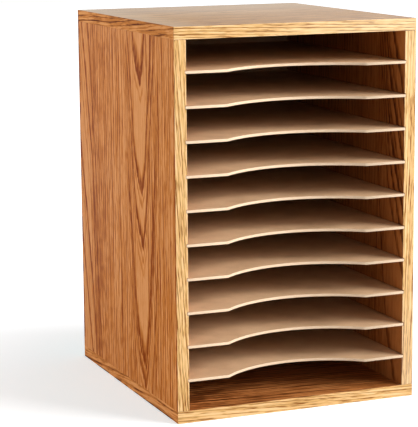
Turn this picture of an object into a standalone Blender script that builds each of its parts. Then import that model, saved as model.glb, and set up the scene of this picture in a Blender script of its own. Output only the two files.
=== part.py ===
"""Desktop file sorter: a laminated cabinet with ten scooped hardboard shelves.

Metres, +Z up. The origin is the middle of the underside, and the open front faces -Y.
Each named object is one physical piece. The shelves slide out of the front in grooves.
"""

import math

import bmesh
import bpy
from mathutils import Matrix, Vector

# The cabinet's outer size
CABINET_WIDTH = 0.271
CABINET_DEPTH = 0.3048
CABINET_HEIGHT = 0.4064

# The four boards, and the bands glued to their visible edges
BOARD_THICKNESS = 0.0127
BAND_THICKNESS = 0.0008
BAND_EDGE_EASE = 0.0002
GLUE_GAP = 0.0003

# The back panel, held in a groove all round
BACK_THICKNESS = 0.0032
BACK_INSET = 0.0064
BACK_GROOVE_DEPTH = 0.006
BACK_GAP = 0.0003

# The shelves and their grooves in the sides
SHELF_COUNT = 10
SHELF_THICKNESS = 0.0028
SHELF_EDGE_EASE = 0.0003
TOP_COMPARTMENT_HEIGHT = 0.0315
BOTTOM_COMPARTMENT_HEIGHT = 0.0306
SHELF_GROOVE_DEPTH = 0.0015
SHELF_SEAT_GAP = 0.0003
SHELF_TOP_GAP = 0.0008
SHELF_SIDE_GAP = 0.0004
SHELF_BACK_GAP = 0.0005

# The finger scoop in each shelf's front edge, an arc of a circle
SCOOP_WIDTH = 0.157
SCOOP_DEPTH = 0.0298
SCOOP_SEGMENTS = 32

# The blind dowels that join the sides to the top and bottom boards
DOWEL_DIAMETER = 0.006
DOWEL_LENGTH = 0.020
DOWEL_CHAMFER = 0.0008
DOWEL_SKIN = 0.0037
DOWEL_GAP = 0.0003
DOWEL_SETBACK = 0.040
DOWELS_PER_JOINT = 3
DOWEL_SIDES = 16

# Colour and roughness of each material
OAK_LAMINATE = ("oak_laminate_board", (0.52, 0.24, 0.085), 0.38)
OAK_BAND = ("oak_edge_band", (0.80, 0.53, 0.22), 0.42)
HARDBOARD = ("hardboard_shelf", (0.60, 0.40, 0.24), 0.62)
DARK_HARDBOARD = ("hardboard_back", (0.20, 0.10, 0.05), 0.70)
BEECH = ("beech_dowel", (0.72, 0.52, 0.33), 0.60)

LEFT, RIGHT = -1, 1
BOTTOM, TOP = -1, 1

# Planes and spans that follow from the sizes above
FRONT = -CABINET_DEPTH / 2
REAR = CABINET_DEPTH / 2
INTERIOR_WIDTH = CABINET_WIDTH - 2 * BOARD_THICKNESS
FLOOR = BOARD_THICKNESS
CEILING = CABINET_HEIGHT - BOARD_THICKNESS
BOARD_FRONT = FRONT + BAND_THICKNESS + GLUE_GAP
BACK_FRONT = REAR - BACK_INSET - BACK_THICKNESS
LOWEST_SHELF = FLOOR + BOTTOM_COMPARTMENT_HEIGHT
HIGHEST_SHELF = CEILING - TOP_COMPARTMENT_HEIGHT - SHELF_THICKNESS
SHELF_PITCH = (HIGHEST_SHELF - LOWEST_SHELF) / (SHELF_COUNT - 1)


def clear_scene():
    for old in list(bpy.data.objects):
        bpy.data.objects.remove(old, do_unlink=True)


def make_material(name, color, roughness):
    """A Principled material with one plain colour."""
    made = bpy.data.materials.new(name)
    made.use_nodes = True
    made.diffuse_color = (*color, 1.0)
    shader = made.node_tree.nodes["Principled BSDF"]
    shader.inputs["Base Color"].default_value = (*color, 1.0)
    shader.inputs["Roughness"].default_value = roughness
    shader.inputs["Metallic"].default_value = 0.0
    return made


def mesh_from(name, shape):
    """Turns a bmesh into mesh data with its faces pointing out."""
    bmesh.ops.recalc_face_normals(shape, faces=shape.faces)
    mesh = bpy.data.meshes.new(name)
    shape.to_mesh(mesh)
    shape.free()
    return mesh


def box_mesh(name, size):
    """A box centred on its own origin."""
    shape = bmesh.new()
    bmesh.ops.create_cube(shape, size=1)
    bmesh.ops.scale(shape, vec=Vector(size), verts=shape.verts)
    return mesh_from(name, shape)


def prism_mesh(name, outline, along):
    """A closed outline of 3-D points, pushed along a vector and centred on that push."""
    shape = bmesh.new()
    start = -Vector(along) / 2
    corners = [shape.verts.new(Vector(point) + start) for point in outline]
    face = shape.faces.new(corners)
    pushed = bmesh.ops.extrude_face_region(shape, geom=[face])["geom"]
    moved = [item for item in pushed if isinstance(item, bmesh.types.BMVert)]
    bmesh.ops.translate(shape, vec=Vector(along), verts=moved)
    return mesh_from(name, shape)


def cylinder_mesh(name, radius, length, chamfer=0.0):
    """An upright cylinder centred on its own origin, with chamfered ends if asked."""
    shape = bmesh.new()
    bmesh.ops.create_cone(
        shape,
        cap_ends=True,
        segments=DOWEL_SIDES,
        radius1=radius,
        radius2=radius,
        depth=length,
    )
    if chamfer:
        rims = [e for e in shape.edges if e.verts[0].co.z * e.verts[1].co.z > 0]
        bmesh.ops.bevel(
            shape, geom=rims, offset=chamfer, offset_type="OFFSET", segments=1, affect="EDGES"
        )
    return mesh_from(name, shape)


def add_piece(name, mesh, material, place, parent):
    """Puts one named piece in the scene, carried by its parent."""
    piece = bpy.data.objects.new(name, mesh)
    piece.location = place
    piece.parent = parent
    piece.data.materials.append(material)
    bpy.context.scene.collection.objects.link(piece)
    return piece


def add_cutter(name, mesh, place, parent):
    """A hidden solid that only cuts other pieces."""
    cutter = bpy.data.objects.new(name, mesh)
    cutter.location = place
    cutter.parent = parent
    cutter.hide_render = True
    cutter.display_type = "WIRE"
    bpy.context.scene.collection.objects.link(cutter)
    return cutter


def cut(piece, cutters):
    for cutter in cutters:
        hole = piece.modifiers.new(cutter.name, "BOOLEAN")
        hole.operation = "DIFFERENCE"
        hole.solver = "EXACT"
        hole.object = cutter


def ease_edges(piece, width):
    """A small bevel on every square edge."""
    bevel = piece.modifiers.new("eased_edges", "BEVEL")
    bevel.width = width
    bevel.segments = 1
    bevel.limit_method = "ANGLE"
    bevel.angle_limit = math.radians(60)


def shade_round(mesh):
    mesh.shade_smooth()
    mesh.set_sharp_from_angle(angle=math.radians(35))


def shelf_underside(number):
    """Height of a shelf's underside. Shelf 1 is the highest."""
    return HIGHEST_SHELF - (number - 1) * SHELF_PITCH


def side_outline(side, middle):
    """A side seen from the front, about its own middle, with a notch for each shelf."""
    outer = side * BOARD_THICKNESS / 2
    inner = -outer
    groove_floor = inner + side * SHELF_GROOVE_DEPTH
    low = FLOOR + GLUE_GAP - middle
    high = CEILING - GLUE_GAP - middle
    outline = [(outer, 0, low), (inner, 0, low)]
    for number in range(SHELF_COUNT, 0, -1):
        under = shelf_underside(number) - SHELF_SEAT_GAP - middle
        over = under + SHELF_SEAT_GAP + SHELF_THICKNESS + SHELF_TOP_GAP
        outline += [(inner, 0, under), (groove_floor, 0, under)]
        outline += [(groove_floor, 0, over), (inner, 0, over)]
    return outline + [(inner, 0, high), (outer, 0, high)]


def dowel_span(level):
    """Lowest and highest point of the dowels at the bottom or top joints."""
    in_board = BOARD_THICKNESS - DOWEL_SKIN - DOWEL_GAP
    if level == TOP:
        return CEILING + in_board - DOWEL_LENGTH, CEILING + in_board
    return FLOOR - in_board, FLOOR - in_board + DOWEL_LENGTH


def dowel_places():
    """Name, side, level and centre of every dowel."""
    first = BOARD_FRONT + DOWEL_SETBACK
    last = REAR - DOWEL_SETBACK
    step = (last - first) / (DOWELS_PER_JOINT - 1)
    for level, level_name in ((TOP, "top"), (BOTTOM, "bottom")):
        low, high = dowel_span(level)
        for side, side_name in ((LEFT, "left"), (RIGHT, "right")):
            across = side * (CABINET_WIDTH - BOARD_THICKNESS) / 2
            for number in range(DOWELS_PER_JOINT):
                centre = Vector((across, first + number * step, (low + high) / 2))
                yield f"dowel_{level_name}_{side_name}_{number + 1}", side, level, centre


def add_dowels(material, parent):
    """The dowels, and the drill holes that they sit in, by side and by level."""
    dowel = cylinder_mesh("dowel", DOWEL_DIAMETER / 2, DOWEL_LENGTH, DOWEL_CHAMFER)
    shade_round(dowel)
    drill = cylinder_mesh(
        "drill", DOWEL_DIAMETER / 2 + DOWEL_GAP, DOWEL_LENGTH + 2 * DOWEL_GAP
    )
    holes = {LEFT: [], RIGHT: []}
    holes_by_level = {TOP: [], BOTTOM: []}
    for name, side, level, centre in dowel_places():
        piece = add_piece(name, dowel.copy(), material, centre, parent)
        hole = add_cutter(piece.name + "_hole", drill, centre, parent)
        holes[side].append(hole)
        holes_by_level[level].append(hole)
    return holes, holes_by_level


def add_back_panel(material, parent):
    """The back panel, and the cutter of the groove round it."""
    reach = BACK_GROOVE_DEPTH - BACK_GAP
    size = Vector(
        (
            INTERIOR_WIDTH + 2 * reach,
            BACK_THICKNESS,
            CEILING - FLOOR + 2 * reach,
        )
    )
    place = (0, BACK_FRONT + BACK_THICKNESS / 2, (FLOOR + CEILING) / 2)
    add_piece("back_panel", box_mesh("back_panel", size), material, place, parent)
    room = size + 2 * Vector((BACK_GAP, BACK_GAP, BACK_GAP))
    return add_cutter("back_groove", box_mesh("back_groove", room), place, parent)


def add_side(side, name, materials, cutters, parent):
    """One side board and the band on its front edge, both notched for the shelves."""
    middle = (FLOOR + CEILING) / 2
    across = side * (CABINET_WIDTH - BOARD_THICKNESS) / 2
    outline = side_outline(side, middle)
    depth = REAR - BOARD_FRONT
    board = add_piece(
        f"{name}_side_board",
        prism_mesh(f"{name}_side_board", outline, (0, depth, 0)),
        materials["board"],
        (across, BOARD_FRONT + depth / 2, middle),
        parent,
    )
    cut(board, cutters)
    band = add_piece(
        f"{name}_side_front_band",
        prism_mesh(f"{name}_side_front_band", outline, (0, BAND_THICKNESS, 0)),
        materials["band"],
        (across, FRONT + BAND_THICKNESS / 2, middle),
        parent,
    )
    ease_edges(band, BAND_EDGE_EASE)


def add_level_board(level, name, materials, cutters, parent):
    """The top or bottom board with the bands on its front edge and two ends."""
    height = CABINET_HEIGHT - BOARD_THICKNESS / 2 if level == TOP else BOARD_THICKNESS / 2
    depth = REAR - BOARD_FRONT
    centre_y = BOARD_FRONT + depth / 2
    width = CABINET_WIDTH - 2 * (BAND_THICKNESS + GLUE_GAP)
    board = add_piece(
        f"{name}_board",
        box_mesh(f"{name}_board", (width, depth, BOARD_THICKNESS)),
        materials["board"],
        (0, centre_y, height),
        parent,
    )
    cut(board, cutters)
    front = add_piece(
        f"{name}_front_band",
        box_mesh(f"{name}_front_band", (CABINET_WIDTH, BAND_THICKNESS, BOARD_THICKNESS)),
        materials["band"],
        (0, FRONT + BAND_THICKNESS / 2, height),
        parent,
    )
    ease_edges(front, BAND_EDGE_EASE)
    for side, side_name in ((LEFT, "left"), (RIGHT, "right")):
        end = add_piece(
            f"{name}_{side_name}_end_band",
            box_mesh(f"{name}_{side_name}_end_band", (BAND_THICKNESS, depth, BOARD_THICKNESS)),
            materials["band"],
            (side * (CABINET_WIDTH - BAND_THICKNESS) / 2, centre_y, height),
            parent,
        )
        ease_edges(end, BAND_EDGE_EASE)


def shelf_outline(width, depth):
    """A shelf seen from above, about its own middle, with the scoop in its front edge."""
    half_width, half_depth = width / 2, depth / 2
    half_scoop = SCOOP_WIDTH / 2
    radius = (half_scoop**2 + SCOOP_DEPTH**2) / (2 * SCOOP_DEPTH)
    centre_y = -half_depth + SCOOP_DEPTH - radius
    half_angle = math.asin(half_scoop / radius)
    outline = [(half_width, -half_depth, 0), (half_width, half_depth, 0)]
    outline += [(-half_width, half_depth, 0), (-half_width, -half_depth, 0)]
    for step in range(SCOOP_SEGMENTS + 1):
        angle = half_angle * (2 * step / SCOOP_SEGMENTS - 1)
        outline.append((radius * math.sin(angle), centre_y + radius * math.cos(angle), 0))
    return outline


def add_shelves(material, parent):
    """The loose shelves. Each one's origin lies on the line along which it slides."""
    width = INTERIOR_WIDTH + 2 * (SHELF_GROOVE_DEPTH - SHELF_SIDE_GAP)
    depth = BACK_FRONT - SHELF_BACK_GAP - FRONT
    shelf = prism_mesh("shelf", shelf_outline(width, depth), (0, 0, SHELF_THICKNESS))
    shade_round(shelf)
    for number in range(1, SHELF_COUNT + 1):
        place = (0, FRONT + depth / 2, shelf_underside(number) + SHELF_THICKNESS / 2)
        piece = add_piece(f"shelf_{number:02d}", shelf.copy(), material, place, parent)
        ease_edges(piece, SHELF_EDGE_EASE)


def main():
    clear_scene()
    cabinet = bpy.data.objects.new("cabinet", None)
    bpy.context.scene.collection.objects.link(cabinet)
    materials = {"board": make_material(*OAK_LAMINATE), "band": make_material(*OAK_BAND)}
    side_holes, level_holes = add_dowels(make_material(*BEECH), cabinet)
    back_groove = add_back_panel(make_material(*DARK_HARDBOARD), cabinet)
    add_side(LEFT, "left", materials, [back_groove, *side_holes[LEFT]], cabinet)
    add_side(RIGHT, "right", materials, [back_groove, *side_holes[RIGHT]], cabinet)
    add_level_board(TOP, "top", materials, [back_groove, *level_holes[TOP]], cabinet)
    add_level_board(BOTTOM, "bottom", materials, [back_groove, *level_holes[BOTTOM]], cabinet)
    add_shelves(make_material(*HARDBOARD), cabinet)


main()
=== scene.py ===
"""Looks for the desktop file sorter: laminated oak case, pale edge bands, hardboard shelves.

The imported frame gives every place. Lengths are in metres, except that the finishes work in
millimetres. Across and along mean across and along the grain of the face in question. A tone is
a linear colour, and three tones together go from light over middle to dark.
"""

import math

import bmesh
import bpy
from mathutils import Matrix, Vector


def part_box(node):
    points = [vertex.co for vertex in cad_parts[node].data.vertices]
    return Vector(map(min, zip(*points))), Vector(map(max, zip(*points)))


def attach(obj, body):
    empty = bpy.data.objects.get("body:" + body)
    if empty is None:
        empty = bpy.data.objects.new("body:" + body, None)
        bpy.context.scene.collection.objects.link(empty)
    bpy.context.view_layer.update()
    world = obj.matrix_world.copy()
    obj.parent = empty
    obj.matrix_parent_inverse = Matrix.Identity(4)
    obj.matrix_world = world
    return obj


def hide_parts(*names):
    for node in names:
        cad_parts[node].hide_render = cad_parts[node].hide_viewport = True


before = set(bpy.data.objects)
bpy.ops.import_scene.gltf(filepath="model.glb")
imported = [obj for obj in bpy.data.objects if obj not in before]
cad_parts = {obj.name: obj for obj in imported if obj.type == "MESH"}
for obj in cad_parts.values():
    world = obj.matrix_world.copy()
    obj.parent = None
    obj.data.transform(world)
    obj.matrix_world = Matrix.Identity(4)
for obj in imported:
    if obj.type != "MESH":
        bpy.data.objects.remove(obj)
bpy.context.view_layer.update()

# Sizes that the frame does not name
GLUE_GAP = 0.0003
SHELF_SEAT_GAP = 0.0003
SHELF_TOP_GAP = 0.0008
SHELF_SIDE_GAP = 0.0004
SCOOP_WIDTH = 0.157
SCOOP_DEPTH = 0.0298
SCOOP_STEPS = 96

# Eased edges: the width on each kind of piece, the steps, and the angle in degrees to start at
BOARD_EASE = 0.00015
BAND_EASE = 0.0003
SHELF_EASE = 0.0002
EASE_STEPS = 3
EASE_ANGLE = 50

# Points this near are one, and faces within this many degrees lie in one plane
SAME_PLACE = 0.00001
SAME_PLANE_ANGLE = 0.5

TO_MM = 1000.0

# The camera that the photograph's perspective gives: angles in degrees, sensor in millimetres
CAMERA_PLACE = (-0.77369, -1.81426, 0.53496)
CAMERA_AZIMUTH = -22.080
CAMERA_ELEVATION = 10.056
CAMERA_ROLL = -0.473
FOCAL_PIXELS = 1800.33
IMAGE_HEIGHT = 427
SENSOR = 36.0

# The floor glows to camera rays, and less to the rays of reflections. It fades to white with the
# distance from the object's middle, in millimetres. Near the object a cool tint balances the
# warm light that comes off the wood.
FLOOR_SIZE = 14.0
FLOOR_TONE = (0.90, 0.90, 0.90)
FLOOR_GLOW = 0.442
MIRROR_GLOW = 0.15
NEAR_TINT = (0.85, 1.0, 1.035)
FAR_TINT = (0.97, 1.0, 1.02)
TINT_START = 190.0
TINT_END = 340.0
FADE_START = 220.0
FADE_END = 670.0

# The world's level at the horizon and overhead, and the point that the lamps aim at
WORLD_LEVEL = 0.50
OVERHEAD_LEVEL = 0.30
LAMP_AIM = (0.0, 0.0, 0.2)
# Each lamp's name, place, width and height, and power
LAMPS = (
    ("key", (2.08, -1.72, 1.48), (1.9, 1.5), 106.0),
    ("fill", (-2.7, 1.5, 0.6), (1.4, 0.8), 48.0),
)

SHELVES = [node for node in sorted(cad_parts) if node.startswith("shelf_")]
LEFT, RIGHT = -1, 1
X, Z = 0, 2

# A sheet's faces, in the order of its finishes. A face looks along an axis if that axis has
# more than FACING of its direction.
OUTER, INNER, CUT = 0, 1, 2
FACING = 0.5

# Tones of the oak on each face, and of the painted light and sheen that pales it in places
SIDE_OAK = ((0.670, 0.298, 0.108), (0.520, 0.176, 0.033), (0.215, 0.037, 0.001))
TOP_OAK = ((0.585, 0.302, 0.076), (0.412, 0.185, 0.028), (0.17, 0.054, 0.005))
# Painted light: a paler copy of the laminate for the ceiling inside, which throws more light into
# the top compartment
LIT_CEILING_OAK = ((0.66, 0.430, 0.220), (0.50, 0.300, 0.130), (0.22, 0.090, 0.030))
# Painted shade: a darker copy of the laminate for the inside of the right side
SHADED_INNER_OAK = ((0.50, 0.185, 0.050), (0.35, 0.105, 0.020), (0.09, 0.016, 0.001))
# Partly painted shade: a darker, redder copy of the laminate for the floor inside
SHADED_FLOOR_OAK = ((0.68, 0.280, 0.088), (0.40, 0.132, 0.030), (0.07, 0.014, 0.001))
END_OAK = ((0.67, 0.298, 0.098), (0.505, 0.177, 0.034), (0.115, 0.021, 0.001))
BAND_OAK = ((0.90, 0.590, 0.290), (0.71, 0.415, 0.145), (0.24, 0.074, 0.003))
PAINTED_LIGHT_TONE = (1.0, 0.93, 0.78)

# Tones of the other materials
SHELF_TONES = ((0.86, 0.59, 0.36), (0.76, 0.50, 0.295), (0.62, 0.395, 0.22))
SCREEN_TONES = ((0.65, 0.48, 0.33), (0.58, 0.42, 0.28), (0.48, 0.34, 0.22))
SHELF_EDGE_TONES = ((0.90, 0.74, 0.57), (0.80, 0.60, 0.41), (0.64, 0.43, 0.26))
BACK_TONES = ((0.73, 0.465, 0.280), (0.65, 0.405, 0.236), (0.56, 0.345, 0.198))
CHIP_TONES = ((0.66, 0.50, 0.31), (0.50, 0.34, 0.19), (0.30, 0.185, 0.095))
CHIP_GAP_TONE = (0.13, 0.075, 0.035)
BEECH_LIGHT = (0.76, 0.56, 0.37)
BEECH_DARK = (0.62, 0.42, 0.25)
BEECH_FLECK = (0.40, 0.22, 0.11)

# The Mix node's sockets for colours
MIX_SHARE, MIX_FIRST, MIX_SECOND, MIX_RESULT = 0, 6, 7, 2


class Finish:
    """One Principled material, with short ways to add nodes to it."""

    def __init__(self, name, roughness=0.5, specular=0.5):
        self.material = bpy.data.materials.new(name)
        self.material.use_nodes = True
        self.tree = self.material.node_tree
        self.shader = self.tree.nodes["Principled BSDF"]
        self.shader.inputs["Roughness"].default_value = roughness
        self.shader.inputs["Specular IOR Level"].default_value = specular

    def feed(self, socket, value):
        """Gives a socket its value: a link, a number, or a tone."""
        if isinstance(value, bpy.types.NodeSocket):
            self.tree.links.new(value, socket)
        elif isinstance(value, tuple):
            socket.default_value = (*value, 1.0)
        else:
            socket.default_value = value

    def add(self, kind, inputs=None, **settings):
        made = self.tree.nodes.new("ShaderNode" + kind)
        for key, value in settings.items():
            setattr(made, key, value)
        for key, value in (inputs or {}).items():
            self.feed(made.inputs[key], value)
        return made

    def calc(self, operation, *values):
        made = self.add("Math", operation=operation)
        for socket, value in zip(made.inputs, values):
            self.feed(socket, value)
        return made.outputs[0]

    def total(self, *values):
        made = values[0]
        for value in values[1:]:
            made = self.calc("ADD", made, value)
        return made

    def less(self, value, taken):
        return self.calc("SUBTRACT", value, taken)

    def times(self, *values):
        made = values[0]
        for value in values[1:]:
            made = self.calc("MULTIPLY", made, value)
        return made

    def mixed(self, first, part, second):
        """The given part of the first value, and the rest of the second."""
        return self.total(self.times(first, part), self.times(second, 1.0 - part))

    def ease(self, value, low, high, start=0.0, end=1.0):
        """Goes smoothly from start to end as value goes from low to high."""
        span = {"Value": value, "From Min": low, "From Max": high, "To Min": start, "To Max": end}
        return self.add("MapRange", span, interpolation_type="SMOOTHSTEP").outputs[0]

    def scaled(self, places, sizes):
        axes = [self.calc("DIVIDE", place, size) for place, size in zip(places, sizes)]
        return self.add("CombineXYZ", dict(zip("XYZ", axes))).outputs[0]

    def noise(self, places, sizes, detail=2.0, roughness=0.5):
        """Noise from 0 to 1 whose blobs have the given size along each of three places."""
        where = self.scaled(places, sizes)
        inputs = {"Vector": where, "Scale": 1.0, "Detail": detail, "Roughness": roughness}
        return self.add("TexNoise", inputs).outputs[0]

    def drift(self, places, sizes, reach, detail=1.0):
        """Noise from -reach/2 to reach/2."""
        return self.times(self.less(self.noise(places, sizes, detail), 0.5), reach)

    def ramp(self, share, *stops):
        """A colour ramp whose stops are pairs of a place and a tone."""
        made = self.add("ValToRGB", {"Fac": share})
        elements = made.color_ramp.elements
        while len(elements) < len(stops):
            elements.new(1.0)
        for element, (position, tone) in zip(elements, stops):
            element.position = position
            element.color = (*tone, 1.0)
        return made.outputs[0]

    def mottle(self, share, tones, low=0.3, middle=0.5, high=0.7):
        """Three tones over the range that a noise mostly keeps to."""
        light, medium, dark = tones
        return self.ramp(share, (low, dark), (middle, medium), (high, light))

    def blend(self, share, first, second):
        made = self.add("Mix", data_type="RGBA")
        self.feed(made.inputs[MIX_SHARE], share)
        self.feed(made.inputs[MIX_FIRST], first)
        self.feed(made.inputs[MIX_SECOND], second)
        return made.outputs[MIX_RESULT]

    def place(self):
        """The point's X, Y and Z in the part's own frame, in millimetres."""
        point = self.add("TexCoord").outputs["Object"]
        parts = self.add("SeparateXYZ", {"Vector": point}).outputs
        return [self.calc("MULTIPLY", part, TO_MM) for part in parts]

    def color(self, value):
        self.feed(self.shader.inputs["Base Color"], value)

    def rough(self, value):
        self.feed(self.shader.inputs["Roughness"], value)

    def bump(self, height, depth_mm):
        inputs = {"Height": height, "Distance": depth_mm / TO_MM, "Strength": 1.0}
        self.feed(self.shader.inputs["Normal"], self.add("Bump", inputs).outputs[0])


# The oak's figure. Sizes are across and along the grain. Those named RINGS are counted in the
# distance between growth lines.
GRAIN_DEPTH = 11.0
BEND_SIZE = (80.0, 230.0)
RIPPLE_RINGS = 0.9
RIPPLE_LENGTH = 60.0
RIPPLE_REACH_RINGS = 0.3
CROWDING_RINGS = 3.0
CROWDING_LENGTH = 500.0
BREAK_RINGS = 0.8
BREAK_LENGTH = 60.0
FIBRE_SIZE = (1.1, 22.0)
BLOTCH_SIZE = (42.0, 80.0)
TOOTH_SIZE = (2.4, 45.0)
TOOTH_REACH = 16.0
# Patches in which the strips of painted shade and painted highlight come and go: their size, the
# noise levels between which they come up, and their strengths there
PAINTED_PATCH_SIZE = (22.0, 22.0, 22.0)
PAINTED_PATCH_LEVELS = (0.42, 0.60)
PAINTED_PATCH_STRENGTHS = (0.15, 1.0)

# Kinds of marks: the detail of their noise, the two noise levels between which they come up,
# and how strong they are below and above those levels
BREAKS = {"detail": 2.0, "levels": (0.36, 0.58), "strengths": (0.45, 1.0)}
STROKES = {"detail": 2.0, "levels": (0.44, 0.60)}
DASHES = {"detail": 1.0, "levels": (0.50, 0.66)}
PORES = {"size": (0.5, 7.0), "detail": 1.0, "levels": (0.58, 0.72)}
RAGGED = {"size": (3.0, 12.0), "detail": 2.0, "levels": (0.32, 0.54), "strengths": (0.55, 1.0)}

# A growth line rises over this share of the distance to the next, and has this much at least
LINE_RISE = 0.15
WEAKEST_LINE = 0.4

# The arches: half the width in which their two arms blend, how round their tips are, how
# softly their arms bend, and how their lines and the calm wood between them start and end
ARM_BLEND = 4.0
TIP_ROUNDING = 1.5
TIP_DROP = 1.2
KNEE_SOFTNESS = 8.0
ARCH_START = 2.0
ARCH_FULL_SHARE = 0.25
CALM_SHARE = 0.7
CALM_FADE = 9.0

# How much each thing adds to the oak's tone, where 0 is light, MIDDLE_TONE middle and 1 dark
MIDDLE_TONE = 0.4
PLAIN_TONE = 0.04
FIBRE_TONE = 0.38
PORE_TONE = 0.06
PORE_TONE_IN_LINES = 0.25

# The share of the dashes that calm wood keeps, and of a painted shade strip's reach that has full
# strength
CALM_DASHES = 0.25
PAINTED_STRIP_FULL_SHARE = 0.3

# The oak's surface: roughness, relief in millimetres, and what pores and lines add to both
OAK_ROUGHNESS = 0.36
PORE_ROUGHNESS = 0.08
LINE_ROUGHNESS = 0.05
OAK_RELIEF = 0.02
PORE_DEPTH = 0.8
LINE_DEPTH = 0.4


def growth_lines(f, phase, width, seed):
    """Dark lines at whole numbers of phase, each of its own strength, fading on one side."""
    number = f.calc("FLOOR", phase)
    within = f.less(phase, number)
    strength = f.add(
        "TexWhiteNoise", {"W": f.calc("ADD", number, seed)}, noise_dimensions="1D"
    ).outputs[0]
    strength = f.total(f.times(strength, 1.0 - WEAKEST_LINE), WEAKEST_LINE)
    return f.times(strength, f.ease(within, 0.0, LINE_RISE),
                   f.ease(within, LINE_RISE, width, 1.0, 0.0))


def cathedral(f, across, along, arches):
    """Nested pointed arches of flat-sawn oak, and how calm the wood between them is."""
    centre = f.total(f.times(along, arches["lean"]), arches["centre"])
    aside = f.less(across, centre)
    slope, knee, bend = (
        f.ease(aside, -ARM_BLEND, ARM_BLEND, low, high)
        for low, high in zip(arches["low"], arches["high"])
    )
    reach = f.less(f.calc("SQRT", f.total(f.times(aside, aside), TIP_ROUNDING)), TIP_DROP)
    past_knee = f.calc("SMOOTH_MAX", f.less(reach, knee), 0.0, KNEE_SOFTNESS)
    contour = f.less(f.times(along, arches["way"]),
                     f.total(f.times(slope, reach), f.times(bend, past_knee)))
    lines = 0.0
    for tip, width, strength in arches["tips"]:
        past = f.less(contour, tip)
        line = f.times(f.ease(past, -ARCH_START, ARCH_START),
                       f.ease(past, ARCH_FULL_SHARE * width, width, 1.0, 0.0), strength)
        lines = f.calc("MAXIMUM", line, lines)
    lines = f.times(lines, f.ease(reach, *arches["fade"], 1.0, 0.0))
    calm = f.ease(reach, f.times(knee, CALM_SHARE), f.total(knee, CALM_FADE), arches["calm"], 0.0)
    return lines, calm


def marks(f, places, size, detail, levels, strengths=(0.0, 1.0)):
    """Marks of a size across and along the grain, from a noise between two levels."""
    return f.ease(f.noise(places, (*size, GRAIN_DEPTH), detail), *levels, *strengths)


def unevenness(f, places, size, roughness=0.5):
    """Soft lighter and darker places, from -0.5 to 0.5."""
    return f.less(f.noise(places, (*size, GRAIN_DEPTH), roughness=roughness), 0.5)


def bent(f, plain, ring, slant, waver):
    """The place across the grain once its slant, long bends and ripples are reckoned in."""
    across, along, deep = plain
    ripple_size = (RIPPLE_RINGS * ring, RIPPLE_LENGTH, GRAIN_DEPTH)
    return f.total(
        across,
        f.times(along, slant),
        f.drift(plain, (*BEND_SIZE, GRAIN_DEPTH), waver),
        f.drift(plain, ripple_size, RIPPLE_REACH_RINGS * ring),
    )


def oak(name, tones, axes, arches=(), specular=0.25, ring=6.6, lines=0.8, width=0.45,
        strokes=0.3, stroke=(2.3, 60.0), dashes=0.25, dash=(1.8, 14.0), slant=0.0, waver=7.0,
        wander=2.0, blotch=0.2, seed=0.0, painted_strips=(), painted_fades=()):
    """Oak-grain finish.

    axes says which of X, Y and Z run across, along and into the face. Growth lines lie a ring
    apart, and width is their share of it. lines, strokes, dashes and blotch are strengths, stroke
    and dash are sizes. slant, waver and wander say how far the grain leans, bends and crowds.
    A painted strip is painted shade along a line: an axis, its middle, its reach to each side,
    and its strength, which is below zero where it is a painted highlight that pales the wood.
    Painted strips come and go in patches. A painted fade is painted light or sheen: an axis,
    where it starts, where it is full, and how pale it gets there. The seed picks the noise.
    """
    f = Finish(name, OAK_ROUGHNESS, specular)
    point = dict(zip("XYZ", f.place()))
    across, along, deep = (point[axis] for axis in axes)
    deep = f.total(deep, seed)
    plain = (across, along, deep)
    across = bent(f, plain, ring, slant, waver)
    grain = (across, along, deep)
    crowding = f.drift(grain, (CROWDING_RINGS * ring, CROWDING_LENGTH, GRAIN_DEPTH), wander)
    phase = f.total(f.calc("DIVIDE", across, ring), crowding)
    rings = growth_lines(f, phase, width, seed)
    broken = marks(f, grain, (BREAK_RINGS * ring, BREAK_LENGTH), **BREAKS)
    drawn = marks(f, grain, stroke, **STROKES)
    specks = marks(f, grain, dash, **DASHES)
    pores = marks(f, grain, **PORES)
    ragged = marks(f, plain, **RAGGED)
    fibres = unevenness(f, grain, FIBRE_SIZE, roughness=0.6)
    blotches = unevenness(f, plain, BLOTCH_SIZE)
    teeth = f.total(along, f.drift(plain, (*TOOTH_SIZE, GRAIN_DEPTH), TOOTH_REACH))
    busy, arcs = 1.0, 0.0
    for group in arches:
        found, calm = cathedral(f, across, teeth, group)
        arcs = f.calc("MAXIMUM", found, arcs)
        busy = f.times(f.less(1.0, calm), busy)
    figure = f.calc("MAXIMUM", f.times(rings, broken, busy, lines), f.times(ragged, arcs))
    tone = f.total(
        figure,
        PLAIN_TONE,
        f.times(drawn, busy, strokes),
        f.times(specks, f.total(f.times(busy, 1.0 - CALM_DASHES), CALM_DASHES), dashes),
        f.times(pores, f.total(f.times(figure, PORE_TONE_IN_LINES), PORE_TONE)),
        f.times(fibres, FIBRE_TONE),
        f.times(blotches, blotch),
    )
    # Strips of painted shade, or of painted highlight where the strength is below zero, come and
    # go in patches
    painted_patches = f.ease(f.noise(plain, PAINTED_PATCH_SIZE), *PAINTED_PATCH_LEVELS, *PAINTED_PATCH_STRENGTHS)
    for axis, middle, reach, strength in painted_strips:
        off = f.calc("ABSOLUTE", f.less(point[axis], middle))
        painted_strip = f.ease(off, PAINTED_STRIP_FULL_SHARE * reach, reach, strength, 0.0)
        tone = f.total(tone, f.times(painted_strip, painted_patches))
    light, medium, dark = tones
    base = f.ramp(tone, (0.0, light), (MIDDLE_TONE, medium), (1.0, dark))
    # Painted light and sheen: the wood grows paler towards one end
    for axis, start, end, strength in painted_fades:
        base = f.blend(f.ease(point[axis], start, end, 0.0, strength), base, PAINTED_LIGHT_TONE)
    f.color(base)
    f.rough(f.total(f.times(pores, PORE_ROUGHNESS), f.times(figure, LINE_ROUGHNESS),
                    OAK_ROUGHNESS))
    sunk = f.total(f.times(pores, PORE_DEPTH), f.times(figure, LINE_DEPTH))
    f.bump(f.less(1.0, sunk), OAK_RELIEF)
    return f.material


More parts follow.
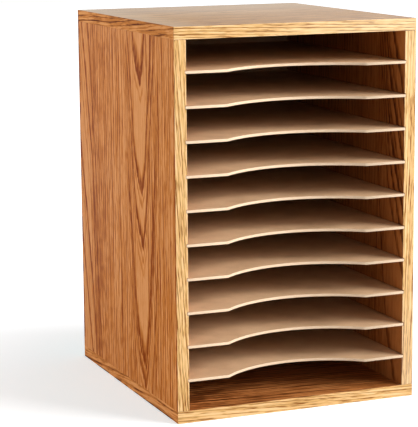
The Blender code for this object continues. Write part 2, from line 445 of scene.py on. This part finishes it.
def particle_board():
    """Raw board edge: pressed chips in several tans, with small dark gaps between them."""
    chip_size = (2.2, 2.2, 1.5)
    grit_size = (0.4, 0.4, 0.4)
    gap_width = (0.02, 0.12)
    gap_strength = 0.7
    chip_part = 0.7
    grit_height = 0.5
    relief = 0.12
    f = Finish("particle_board_edge", roughness=0.85, specular=0.3)
    point = f.place()
    where = f.scaled(point, chip_size)
    chips = f.add("TexVoronoi", {"Vector": where, "Scale": 1.0, "Randomness": 1.0})
    chip = f.add("SeparateColor", {"Color": chips.outputs["Color"]}).outputs[0]
    edges = f.add("TexVoronoi", {"Vector": where, "Scale": 1.0}, feature="DISTANCE_TO_EDGE")
    gap = f.ease(edges.outputs["Distance"], *gap_width, 1.0, 0.0)
    grit = f.noise(point, grit_size, detail=3.0)
    base = f.mottle(f.mixed(chip, chip_part, grit), CHIP_TONES, low=0.0, high=1.0)
    f.color(f.blend(f.times(gap, gap_strength), base, CHIP_GAP_TONE))
    f.bump(f.less(f.times(grit, grit_height), gap), relief)
    return f.material


def hardboard(name, tones, roughness, screen=False):
    """Pressed fibre sheet. The screened side keeps the mesh that it was pressed on."""
    cloud_size = (26.0, 26.0, 26.0)
    fibre_size = (1.1, 1.1, 1.1)
    fleck_size = (0.6, 1.4, 0.6)
    fleck_levels = (0.66, 0.78)
    fleck_strength = 0.35
    fleck_tone = tuple(0.45 * part for part in tones[-1])
    cloud_part = 0.55
    mesh_radians_per_mm = 4.2
    mesh_height, fibre_height = 0.5, 0.4
    screen_relief, relief = 0.12, 0.03
    f = Finish(name, roughness, specular=0.4)
    x, y, z = f.place()
    clouds = f.noise((x, y, z), cloud_size, detail=3.0)
    fibres = f.noise((x, y, z), fibre_size, detail=4.0, roughness=0.65)
    flecks = f.ease(f.noise((x, y, z), fleck_size), *fleck_levels)
    base = f.mottle(f.mixed(clouds, cloud_part, fibres), tones)
    f.color(f.blend(f.times(flecks, fleck_strength), base, fleck_tone))
    if screen:
        ways = (x, f.total(y, z))
        weave = [f.calc("SINE", f.times(way, mesh_radians_per_mm)) for way in ways]
        height = f.total(f.times(*weave, mesh_height), f.times(fibres, fibre_height))
        f.bump(height, screen_relief)
    else:
        f.bump(fibres, relief)
    return f.material


def cut_edge(name, tones):
    """A shelf's sawn edge: pale, fuzzy, and layered along the sheet."""
    layer_size = (9.0, 9.0, 0.35)
    fuzz_size = (0.5, 0.5, 0.3)
    layer_part = 0.55
    relief = 0.15
    f = Finish(name, roughness=0.9, specular=0.2)
    point = f.place()
    layers = f.noise(point, layer_size, detail=3.0, roughness=0.6)
    fuzz = f.noise(point, fuzz_size, detail=3.0, roughness=0.6)
    tone = f.mixed(layers, layer_part, fuzz)
    f.color(f.mottle(tone, tones))
    f.bump(tone, relief)
    return f.material


def beech():
    """Turned dowel wood with short darker flecks along its length."""
    fleck_size = (0.5, 0.5, 3.0)
    fleck_levels = (0.55, 0.75)
    fleck_strength = 0.5
    streak_size = (1.5, 1.5, 30.0)
    relief = 0.03
    f = Finish("beech", roughness=0.6)
    point = f.place()
    flecks = f.ease(f.noise(point, fleck_size), *fleck_levels)
    streaks = f.noise(point, streak_size)
    base = f.ramp(streaks, (0.3, BEECH_DARK), (0.7, BEECH_LIGHT))
    f.color(f.blend(f.times(flecks, fleck_strength), base, BEECH_FLECK))
    f.bump(flecks, relief)
    return f.material


def facing(axis, outward):
    """Tells from a face's direction whether it is an outer, an inner or a cut face."""
    def choose(normal):
        share = normal[axis] * outward
        if share > FACING:
            return OUTER
        return INNER if share < -FACING else CUT

    return choose


def only(normal):
    """For a piece that has one finish on all its faces."""
    return OUTER


def make_piece(name, shape, materials, choose, body, replaced, ease):
    """Turns a bmesh into a finished piece with eased edges that stands for a CAD node."""
    bmesh.ops.recalc_face_normals(shape, faces=shape.faces)
    for face in shape.faces:
        face.material_index = choose(face.normal)
        face.smooth = True
    mesh = bpy.data.meshes.new(name)
    shape.to_mesh(mesh)
    shape.free()
    for material in materials:
        mesh.materials.append(material)
    piece = bpy.data.objects.new(name, mesh)
    bpy.context.scene.collection.objects.link(piece)
    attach(piece, body)
    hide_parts(replaced)
    ease_edges(piece, ease)


def ease_edges(piece, width):
    bevel = piece.modifiers.new("eased_edges", "BEVEL")
    bevel.width = width
    bevel.segments = EASE_STEPS
    bevel.limit_method = "ANGLE"
    bevel.angle_limit = math.radians(EASE_ANGLE)
    bevel.harden_normals = True


def prism(outline, start, along):
    """A closed outline pushed along a vector."""
    shape = bmesh.new()
    corners = [shape.verts.new(Vector(point) + Vector(start)) for point in outline]
    face = shape.faces.new(corners)
    pushed = bmesh.ops.extrude_face_region(shape, geom=[face])["geom"]
    moved = [item for item in pushed if isinstance(item, bmesh.types.BMVert)]
    bmesh.ops.translate(shape, vec=Vector(along), verts=moved)
    return shape


def slab(low, high):
    shape = bmesh.new()
    bmesh.ops.create_cube(shape, size=1)
    size, middle = Vector(high) - Vector(low), (Vector(high) + Vector(low)) / 2
    bmesh.ops.transform(shape, matrix=Matrix.Translation(middle) @ Matrix.Diagonal((*size, 1)),
                        verts=shape.verts)
    return shape


def mesh_of(node, low_push, high_push):
    """A clean copy of a CAD node's mesh, with its outermost faces moved to close glue gaps."""
    low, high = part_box(node)
    shape = bmesh.new()
    shape.from_mesh(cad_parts[node].data)
    bmesh.ops.remove_doubles(shape, verts=shape.verts, dist=SAME_PLACE)
    bmesh.ops.dissolve_limit(shape, angle_limit=math.radians(SAME_PLANE_ANGLE),
                             verts=shape.verts, edges=shape.edges)
    for vert in shape.verts:
        for axis in range(3):
            if abs(vert.co[axis] - low[axis]) < SAME_PLACE:
                vert.co[axis] -= low_push[axis]
            elif abs(vert.co[axis] - high[axis]) < SAME_PLACE:
                vert.co[axis] += high_push[axis]
    return shape


def make_boards(finishes):
    """The four laminated boards, grown by the glue gap to meet the bands and each other."""
    for name, outward in (("left", LEFT), ("right", RIGHT)):
        node = f"{name}_side_board"
        shape = mesh_of(node, (0, GLUE_GAP, GLUE_GAP), (0, 0, GLUE_GAP))
        skins = [finishes[f"{name}_outer"], finishes[f"{name}_inner"], finishes["raw"]]
        make_piece(f"{name}_side_laminate", shape, skins, facing(X, outward), "cabinet",
                   node, BOARD_EASE)
    for name, outward in (("top", 1), ("bottom", -1)):
        node = f"{name}_board"
        shape = mesh_of(node, (GLUE_GAP, GLUE_GAP, 0), (GLUE_GAP, 0, 0))
        skins = [finishes[f"{name}_outer"], finishes[f"{name}_inner"], finishes["raw"]]
        make_piece(f"{name}_laminate", shape, skins, facing(Z, outward), "cabinet",
                   node, BOARD_EASE)


def side_band_outline(side, low, high):
    """The front of a side, with a notch for each shelf, as points in X and Z."""
    outer, inner = (low.x, high.x) if side == LEFT else (high.x, low.x)
    outline = [(outer, 0, low.z), (inner, 0, low.z)]
    for node in sorted(SHELVES, reverse=True):
        shelf_low, shelf_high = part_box(node)
        edge = shelf_low.x if side == LEFT else shelf_high.x
        notch = edge + side * SHELF_SIDE_GAP
        under = shelf_low.z - SHELF_SEAT_GAP
        over = shelf_high.z + SHELF_TOP_GAP
        outline += [(inner, 0, under), (notch, 0, under), (notch, 0, over), (inner, 0, over)]
    return outline + [(inner, 0, high.z), (outer, 0, high.z)]


def make_bands(finishes):
    """The eight edge bands. The end bands are thickened by the glue gap to meet the front ones."""
    for name, side in (("left", LEFT), ("right", RIGHT)):
        node = f"{name}_side_front_band"
        low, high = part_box(node)
        shape = prism(side_band_outline(side, low, high), (0, low.y, 0), (0, high.y - low.y, 0))
        make_piece(f"{name}_side_band", shape, [finishes[f"{name}_band"]], only, "cabinet",
                   node, BAND_EASE)
    for name in ("top", "bottom"):
        node = f"{name}_front_band"
        make_piece(f"{name}_band", slab(*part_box(node)), [finishes[f"{name}_band"]], only,
                   "cabinet", node, BAND_EASE)
        for side in ("left", "right"):
            node = f"{name}_{side}_end_band"
            low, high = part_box(node)
            low.y -= GLUE_GAP
            make_piece(f"{name}_{side}_band", slab(low, high), [finishes[f"{name}_end"]], only,
                       "cabinet", node, BAND_EASE)


def scoop_outline(low, high):
    """A shelf's outline seen from above, with its scooped front edge."""
    middle = (low.x + high.x) / 2
    half = SCOOP_WIDTH / 2
    radius = (half**2 + SCOOP_DEPTH**2) / (2 * SCOOP_DEPTH)
    centre = low.y + SCOOP_DEPTH - radius
    widest = math.asin(half / radius)
    outline = [(high.x, low.y, 0), (high.x, high.y, 0), (low.x, high.y, 0), (low.x, low.y, 0)]
    for step in range(SCOOP_STEPS + 1):
        angle = widest * (2 * step / SCOOP_STEPS - 1)
        outline.append((middle + radius * math.sin(angle), centre + radius * math.cos(angle), 0))
    return outline


def make_shelves(finishes):
    skins = [finishes["shelf_face"], finishes["shelf_back"], finishes["shelf_edge"]]
    for node in SHELVES:
        low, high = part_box(node)
        shape = prism(scoop_outline(low, high), (0, 0, low.z), (0, 0, high.z - low.z))
        make_piece(node + "_sheet", shape, skins, facing(Z, 1), node, node,
                   SHELF_EASE)


def dress_frame(finishes):
    """Finishes for the CAD nodes whose own shape is right: the back panel and the dowels."""
    for node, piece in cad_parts.items():
        if node == "back_panel":
            piece.data.materials.clear()
            piece.data.materials.append(finishes["back"])
        elif node.startswith("dowel_"):
            piece.data.materials.clear()
            piece.data.materials.append(finishes["beech"])


# Each set of arches: its middle line and which way it points. On the low and the high side of
# that line: how steep the arms are, where they bend to run with the grain, and how sharply.
# Then where the arms fade out, how calm the wood inside is, and each arch's tip, width and
# strength.
LEFT_ARCHES = (
    {
        "centre": -59.0, "lean": 0.018, "way": 1.0, "low": (2.5, 9.0, 3.4),
        "high": (1.5, 21.0, 6.5), "fade": (34.0, 52.0), "calm": 0.85,
        "tips": ((338.0, 40.0, 1.0), (320.0, 12.0, 0.4), (221.0, 28.0, 1.0),
                 (206.0, 12.0, 0.45), (166.0, 25.0, 1.0), (150.0, 12.0, 0.5),
                 (134.0, 12.0, 0.35), (34.0, 38.0, 1.0), (13.0, 24.0, 0.85),
                 (-4.0, 12.0, 0.5), (-66.0, 22.0, 0.8), (-120.0, 18.0, 0.7),
                 (455.0, 22.0, 0.8)),
    },
    {
        "centre": 173.0, "lean": 0.0, "way": -1.0, "low": (4.6, 62.0, 5.0),
        "high": (4.6, 62.0, 5.0), "fade": (74.0, 94.0), "calm": 0.6,
        "tips": ((-366.0, 32.0, 1.0), (-262.0, 26.0, 0.9), (-545.0, 34.0, 0.95),
                 (-640.0, 34.0, 0.85), (-455.0, 16.0, 0.5), (-500.0, 14.0, 0.45),
                 (-330.0, 14.0, 0.45)),
    },
)
RIGHT_ARCHES = (
    {
        "centre": 34.0, "lean": -0.03, "way": 1.0, "low": (2.2, 16.0, 5.0),
        "high": (2.7, 10.0, 4.0), "fade": (32.0, 50.0), "calm": 0.85,
        "tips": ((300.0, 32.0, 1.0), (282.0, 12.0, 0.4), (236.0, 24.0, 0.9),
                 (120.0, 28.0, 1.0), (104.0, 12.0, 0.5), (14.0, 26.0, 0.9), (-6.0, 12.0, 0.4),
                 (-80.0, 22.0, 0.8), (420.0, 24.0, 0.8)),
    },
)
INNER_ARCHES = (
    {
        "centre": -166.0, "lean": 0.0, "way": 1.0, "low": (2.7, 50.0, 5.0),
        "high": (2.7, 50.0, 5.0), "fade": (64.0, 84.0), "calm": 0.7,
        "tips": ((276.0, 26.0, 0.9), (240.0, 16.0, 0.7), (212.0, 26.0, 1.0), (182.0, 16.0, 0.7),
                 (160.0, 24.0, 1.0), (128.0, 20.0, 0.9), (92.0, 18.0, 0.7), (-70.0, 28.0, 0.7)),
    },
)
TOP_ARCHES = (
    {
        "centre": 20.0, "lean": 0.03, "way": 1.0, "low": (2.8, 24.0, 5.0),
        "high": (2.3, 24.0, 5.0), "fade": (38.0, 58.0), "calm": 0.6,
        "tips": ((70.0, 26.0, 0.5), (-20.0, 22.0, 0.5), (-96.0, 24.0, 0.5), (-190.0, 22.0, 0.4)),
    },
)

# What the oak of each kind of face has in common
SIDE_GRAIN = {"specular": 0.02, "lines": 1.0, "strokes": 0.38, "stroke": (2.1, 80.0),
              "dashes": 0.34, "dash": (1.5, 14.0)}
INNER_GRAIN = {"waver": 12.0, "lines": 0.45, "strokes": 0.25, "blotch": 0.35}
END_GRAIN = {"specular": 0.02, "waver": 16.0, "lines": 0.85, "strokes": 0.4,
             "stroke": (2.6, 50.0)}
BAND_GRAIN = {"ring": 3.1, "lines": 0.9, "width": 0.48, "strokes": 0.38, "stroke": (1.3, 60.0),
              "dashes": 0.5, "dash": (1.0, 15.0), "waver": 2.5, "wander": 1.2}
LEFT_BAND_GRAIN = dict(BAND_GRAIN, lines=0.78)
RIGHT_BAND_GRAIN = dict(BAND_GRAIN, lines=0.95)
TOP_BAND_GRAIN = dict(BAND_GRAIN, lines=0.78, dashes=0.42, strokes=0.34)

# A painted highlight makes a band paler along the edge that faces the opening: how far, and by how
# much
BAND_PAINTED_HIGHLIGHT = (1.4, -0.5)


def oak_boards(front, rear, opening):
    """The oak of the boards' faces. The arguments are places on Y and X, in millimetres."""
    # Painted shade on the outer sides: dark lines along the front and rear edges, and a wider,
    # weaker darkening over the rear part
    side_painted_shade = (("Y", front, 4.0, 0.6), ("Y", rear, 6.0, 1.3), ("Y", 84.0, 36.0, 0.22))
    return {
        "left_outer": oak("oak_left_side", SIDE_OAK, "YZX", LEFT_ARCHES, painted_strips=side_painted_shade,
                          **SIDE_GRAIN),
        "right_outer": oak("oak_right_side", SIDE_OAK, "YZX", RIGHT_ARCHES, seed=31.0,
                           painted_strips=side_painted_shade, **SIDE_GRAIN),
        "left_inner": oak("oak_left_inner", SIDE_OAK, "YZX", INNER_ARCHES, seed=73.0,
                          **INNER_GRAIN),
        # Painted shade: the inside of the right side has a darker copy of the laminate
        "right_inner": oak("oak_right_inner", SHADED_INNER_OAK, "YZX", INNER_ARCHES, seed=57.0,
                           **INNER_GRAIN),
        # Painted shade along the front of the top, and painted sheen that makes it paler towards
        # the rear and the left
        "top_outer": oak("oak_top", TOP_OAK, "YXZ", TOP_ARCHES, specular=0.29, seed=83.0,
                         painted_strips=(("Y", front, 5.0, 0.35), ("Y", front, 120.0, 0.24)),
                         painted_fades=(("Y", -60.0, rear, 0.20), ("X", -80.0, -135.0, 0.15))),
        # Painted light: the ceiling inside has a paler copy of the laminate
        "top_inner": oak("oak_top_inner", LIT_CEILING_OAK, "YXZ", seed=90.0, **INNER_GRAIN),
        "bottom_outer": oak("oak_bottom", TOP_OAK, "YXZ", seed=97.0),
        # Partly painted shade: the floor inside has a darker copy of the laminate, and painted
        # shade at its left end
        "bottom_inner": oak("oak_bottom_inner", SHADED_FLOOR_OAK, "YXZ", slant=0.10, seed=119.0,
                            ring=6.5, lines=1.1, strokes=0.5, stroke=(2.4, 60.0),
                            painted_strips=(("X", opening, 130.0, 0.28),)),
    }


def oak_bands(rear, opening, ceiling, top):
    """The oak of the edge bands. The arguments are places on Y, X and Z, in millimetres."""
    return {
        # Each front band has a painted highlight along its edge by the opening
        "left_band": oak("oak_band_left", BAND_OAK, "XZY", slant=0.06, seed=11.0,
                         painted_strips=(("X", opening, *BAND_PAINTED_HIGHLIGHT),), **LEFT_BAND_GRAIN),
        # Painted light: the right band grows paler towards its bottom and its top
        "right_band": oak("oak_band_right", BAND_OAK, "XZY", slant=-0.03, seed=15.0,
                          painted_strips=(("X", -opening, *BAND_PAINTED_HIGHLIGHT),),
                          painted_fades=(("Z", 160.0, 0.0, 0.14), ("Z", 300.0, top, 0.06)),
                          **RIGHT_BAND_GRAIN),
        # Painted light: the top band grows paler towards its right end
        "top_band": oak("oak_band_top", BAND_OAK, "ZXY", slant=0.03, seed=23.0,
                        painted_strips=(("Z", ceiling, *BAND_PAINTED_HIGHLIGHT),),
                        painted_fades=(("X", -100.0, 135.0, 0.12),), **TOP_BAND_GRAIN),
        "bottom_band": oak("oak_band_bottom", BAND_OAK, "ZXY", slant=0.04, seed=27.0,
                           **BAND_GRAIN),
        # Painted shade: dark lines along the top edge and the rear edge of the top's end bands
        "top_end": oak("oak_top_end", END_OAK, "ZYX", ring=6.0, slant=0.08, seed=41.0,
                       painted_strips=(("Z", top, 1.8, 0.35), ("Y", rear, 5.0, 1.2)), **END_GRAIN),
        # Painted shadow: a dark contact line along the lower edge of the bottom's end bands
        "bottom_end": oak("oak_bottom_end", END_OAK, "ZYX", ring=8.0, slant=0.06, seed=67.0,
                          painted_strips=(("Z", 0.0, 2.0, 0.9),), **END_GRAIN),
    }


def make_finishes():
    """Every finish of the object, by the name of what wears it."""
    low, high = (corner * TO_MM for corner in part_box("left_side_board"))
    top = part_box("top_board")[1].z * TO_MM
    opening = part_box("left_side_board")[1].x * TO_MM
    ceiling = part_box("top_board")[0].z * TO_MM
    return {
        **oak_boards(low.y, high.y, opening),
        **oak_bands(high.y, opening, ceiling, top),
        "raw": particle_board(),
        "shelf_face": hardboard("hardboard_face", SHELF_TONES, roughness=0.50),
        "shelf_back": hardboard("hardboard_screen", SCREEN_TONES, roughness=0.75, screen=True),
        "shelf_edge": cut_edge("hardboard_cut_edge", SHELF_EDGE_TONES),
        "back": hardboard("hardboard_back_panel", BACK_TONES, roughness=0.65, screen=True),
        "beech": beech(),
    }


def ray_kinds(tree):
    """Two shares: 1 on camera rays, and 1 on the rays that show reflections of the backdrop."""
    path = tree.nodes.new("ShaderNodeLightPath")
    either = tree.nodes.new("ShaderNodeMath")
    either.operation = "MAXIMUM"
    tree.links.new(path.outputs["Is Glossy Ray"], either.inputs[0])
    tree.links.new(path.outputs["Is Transmission Ray"], either.inputs[1])
    return path.outputs["Is Camera Ray"], either.outputs[0]


def add_floor():
    """A plain white floor that keeps the object's shadow and fades into the backdrop."""
    bpy.ops.mesh.primitive_plane_add(size=FLOOR_SIZE)
    floor = bpy.context.object
    floor.name = "floor"
    f = Finish("white_floor", roughness=0.9, specular=0.0)
    f.color(FLOOR_TONE)
    x, y, z = f.place()
    distance = f.calc("SQRT", f.total(f.times(x, x), f.times(y, y)))
    tint = f.blend(f.ease(distance, TINT_START, TINT_END), NEAR_TINT, FAR_TINT)
    glow = f.add("Emission", {"Color": tint})
    level = f.ease(distance, FADE_START, FADE_END, FLOOR_GLOW, 2 * FLOOR_GLOW)
    seen, mirrored = ray_kinds(f.tree)
    f.feed(glow.inputs["Strength"], f.total(f.times(seen, level), f.times(mirrored, MIRROR_GLOW)))
    both = f.add("AddShader")
    f.tree.links.new(f.shader.outputs[0], both.inputs[0])
    f.tree.links.new(glow.outputs[0], both.inputs[1])
    f.tree.links.new(both.outputs[0], f.tree.nodes["Material Output"].inputs["Surface"])
    floor.data.materials.append(f.material)


def add_world():
    """Soft white light all round, weaker from overhead, behind a plain white backdrop."""
    world = bpy.data.worlds.new("white_studio")
    world.use_nodes = True
    bpy.context.scene.world = world
    tree = world.node_tree
    background = tree.nodes["Background"]
    direction = tree.nodes.new("ShaderNodeTexCoord").outputs["Generated"]
    parts = tree.nodes.new("ShaderNodeSeparateXYZ")
    tree.links.new(direction, parts.inputs[0])
    light = tree.nodes.new("ShaderNodeMapRange")
    light.inputs["To Min"].default_value = WORLD_LEVEL
    light.inputs["To Max"].default_value = OVERHEAD_LEVEL
    tree.links.new(parts.outputs["Z"], light.inputs["Value"])
    shown = tree.nodes.new("ShaderNodeMath")
    shown.operation = "MAXIMUM"
    for socket, kind in zip(shown.inputs, ray_kinds(tree)):
        tree.links.new(kind, socket)
    strength = tree.nodes.new("ShaderNodeMapRange")
    strength.inputs["To Max"].default_value = 1.0
    tree.links.new(shown.outputs[0], strength.inputs["Value"])
    tree.links.new(light.outputs[0], strength.inputs["To Min"])
    tree.links.new(strength.outputs[0], background.inputs["Strength"])
    background.inputs["Color"].default_value = (1.0, 1.0, 1.0, 1.0)


def add_lamps():
    """A large soft key lamp in front on the right, and a fill behind on the left.

    The fill stays out of reflections, where it would lay a white glare over the top.
    """
    for name, place, size, power in LAMPS:
        lamp = bpy.data.lights.new(name, "AREA")
        lamp.shape = "RECTANGLE"
        lamp.size, lamp.size_y = size
        lamp.energy = power
        holder = bpy.data.objects.new(name, lamp)
        holder.location = place
        aim = Vector(LAMP_AIM) - Vector(place)
        holder.rotation_euler = aim.to_track_quat("-Z", "Y").to_euler()
        holder.visible_glossy = name == "key"
        bpy.context.scene.collection.objects.link(holder)


def add_camera():
    azimuth, elevation, roll = (
        math.radians(angle) for angle in (CAMERA_AZIMUTH, CAMERA_ELEVATION, CAMERA_ROLL)
    )
    ahead = Vector((-math.sin(azimuth) * math.cos(elevation),
                    math.cos(azimuth) * math.cos(elevation), -math.sin(elevation)))
    level = Vector((math.cos(azimuth), math.sin(azimuth), 0))
    upward = level.cross(ahead)
    right = level * math.cos(roll) + upward * math.sin(roll)
    up = upward * math.cos(roll) - level * math.sin(roll)
    turn = Matrix((right, up, -ahead)).transposed()
    lens = bpy.data.cameras.new("camera")
    lens.sensor_width = SENSOR
    lens.lens = FOCAL_PIXELS * SENSOR / IMAGE_HEIGHT
    holder = bpy.data.objects.new("camera", lens)
    holder.matrix_world = Matrix.Translation(CAMERA_PLACE) @ turn.to_4x4()
    bpy.context.scene.collection.objects.link(holder)
    bpy.context.scene.camera = holder


bpy.context.scene.view_settings.view_transform = "Standard"
add_camera()
finishes = make_finishes()
make_boards(finishes)
make_bands(finishes)
make_shelves(finishes)
dress_frame(finishes)
add_floor()
add_world()
add_lamps()
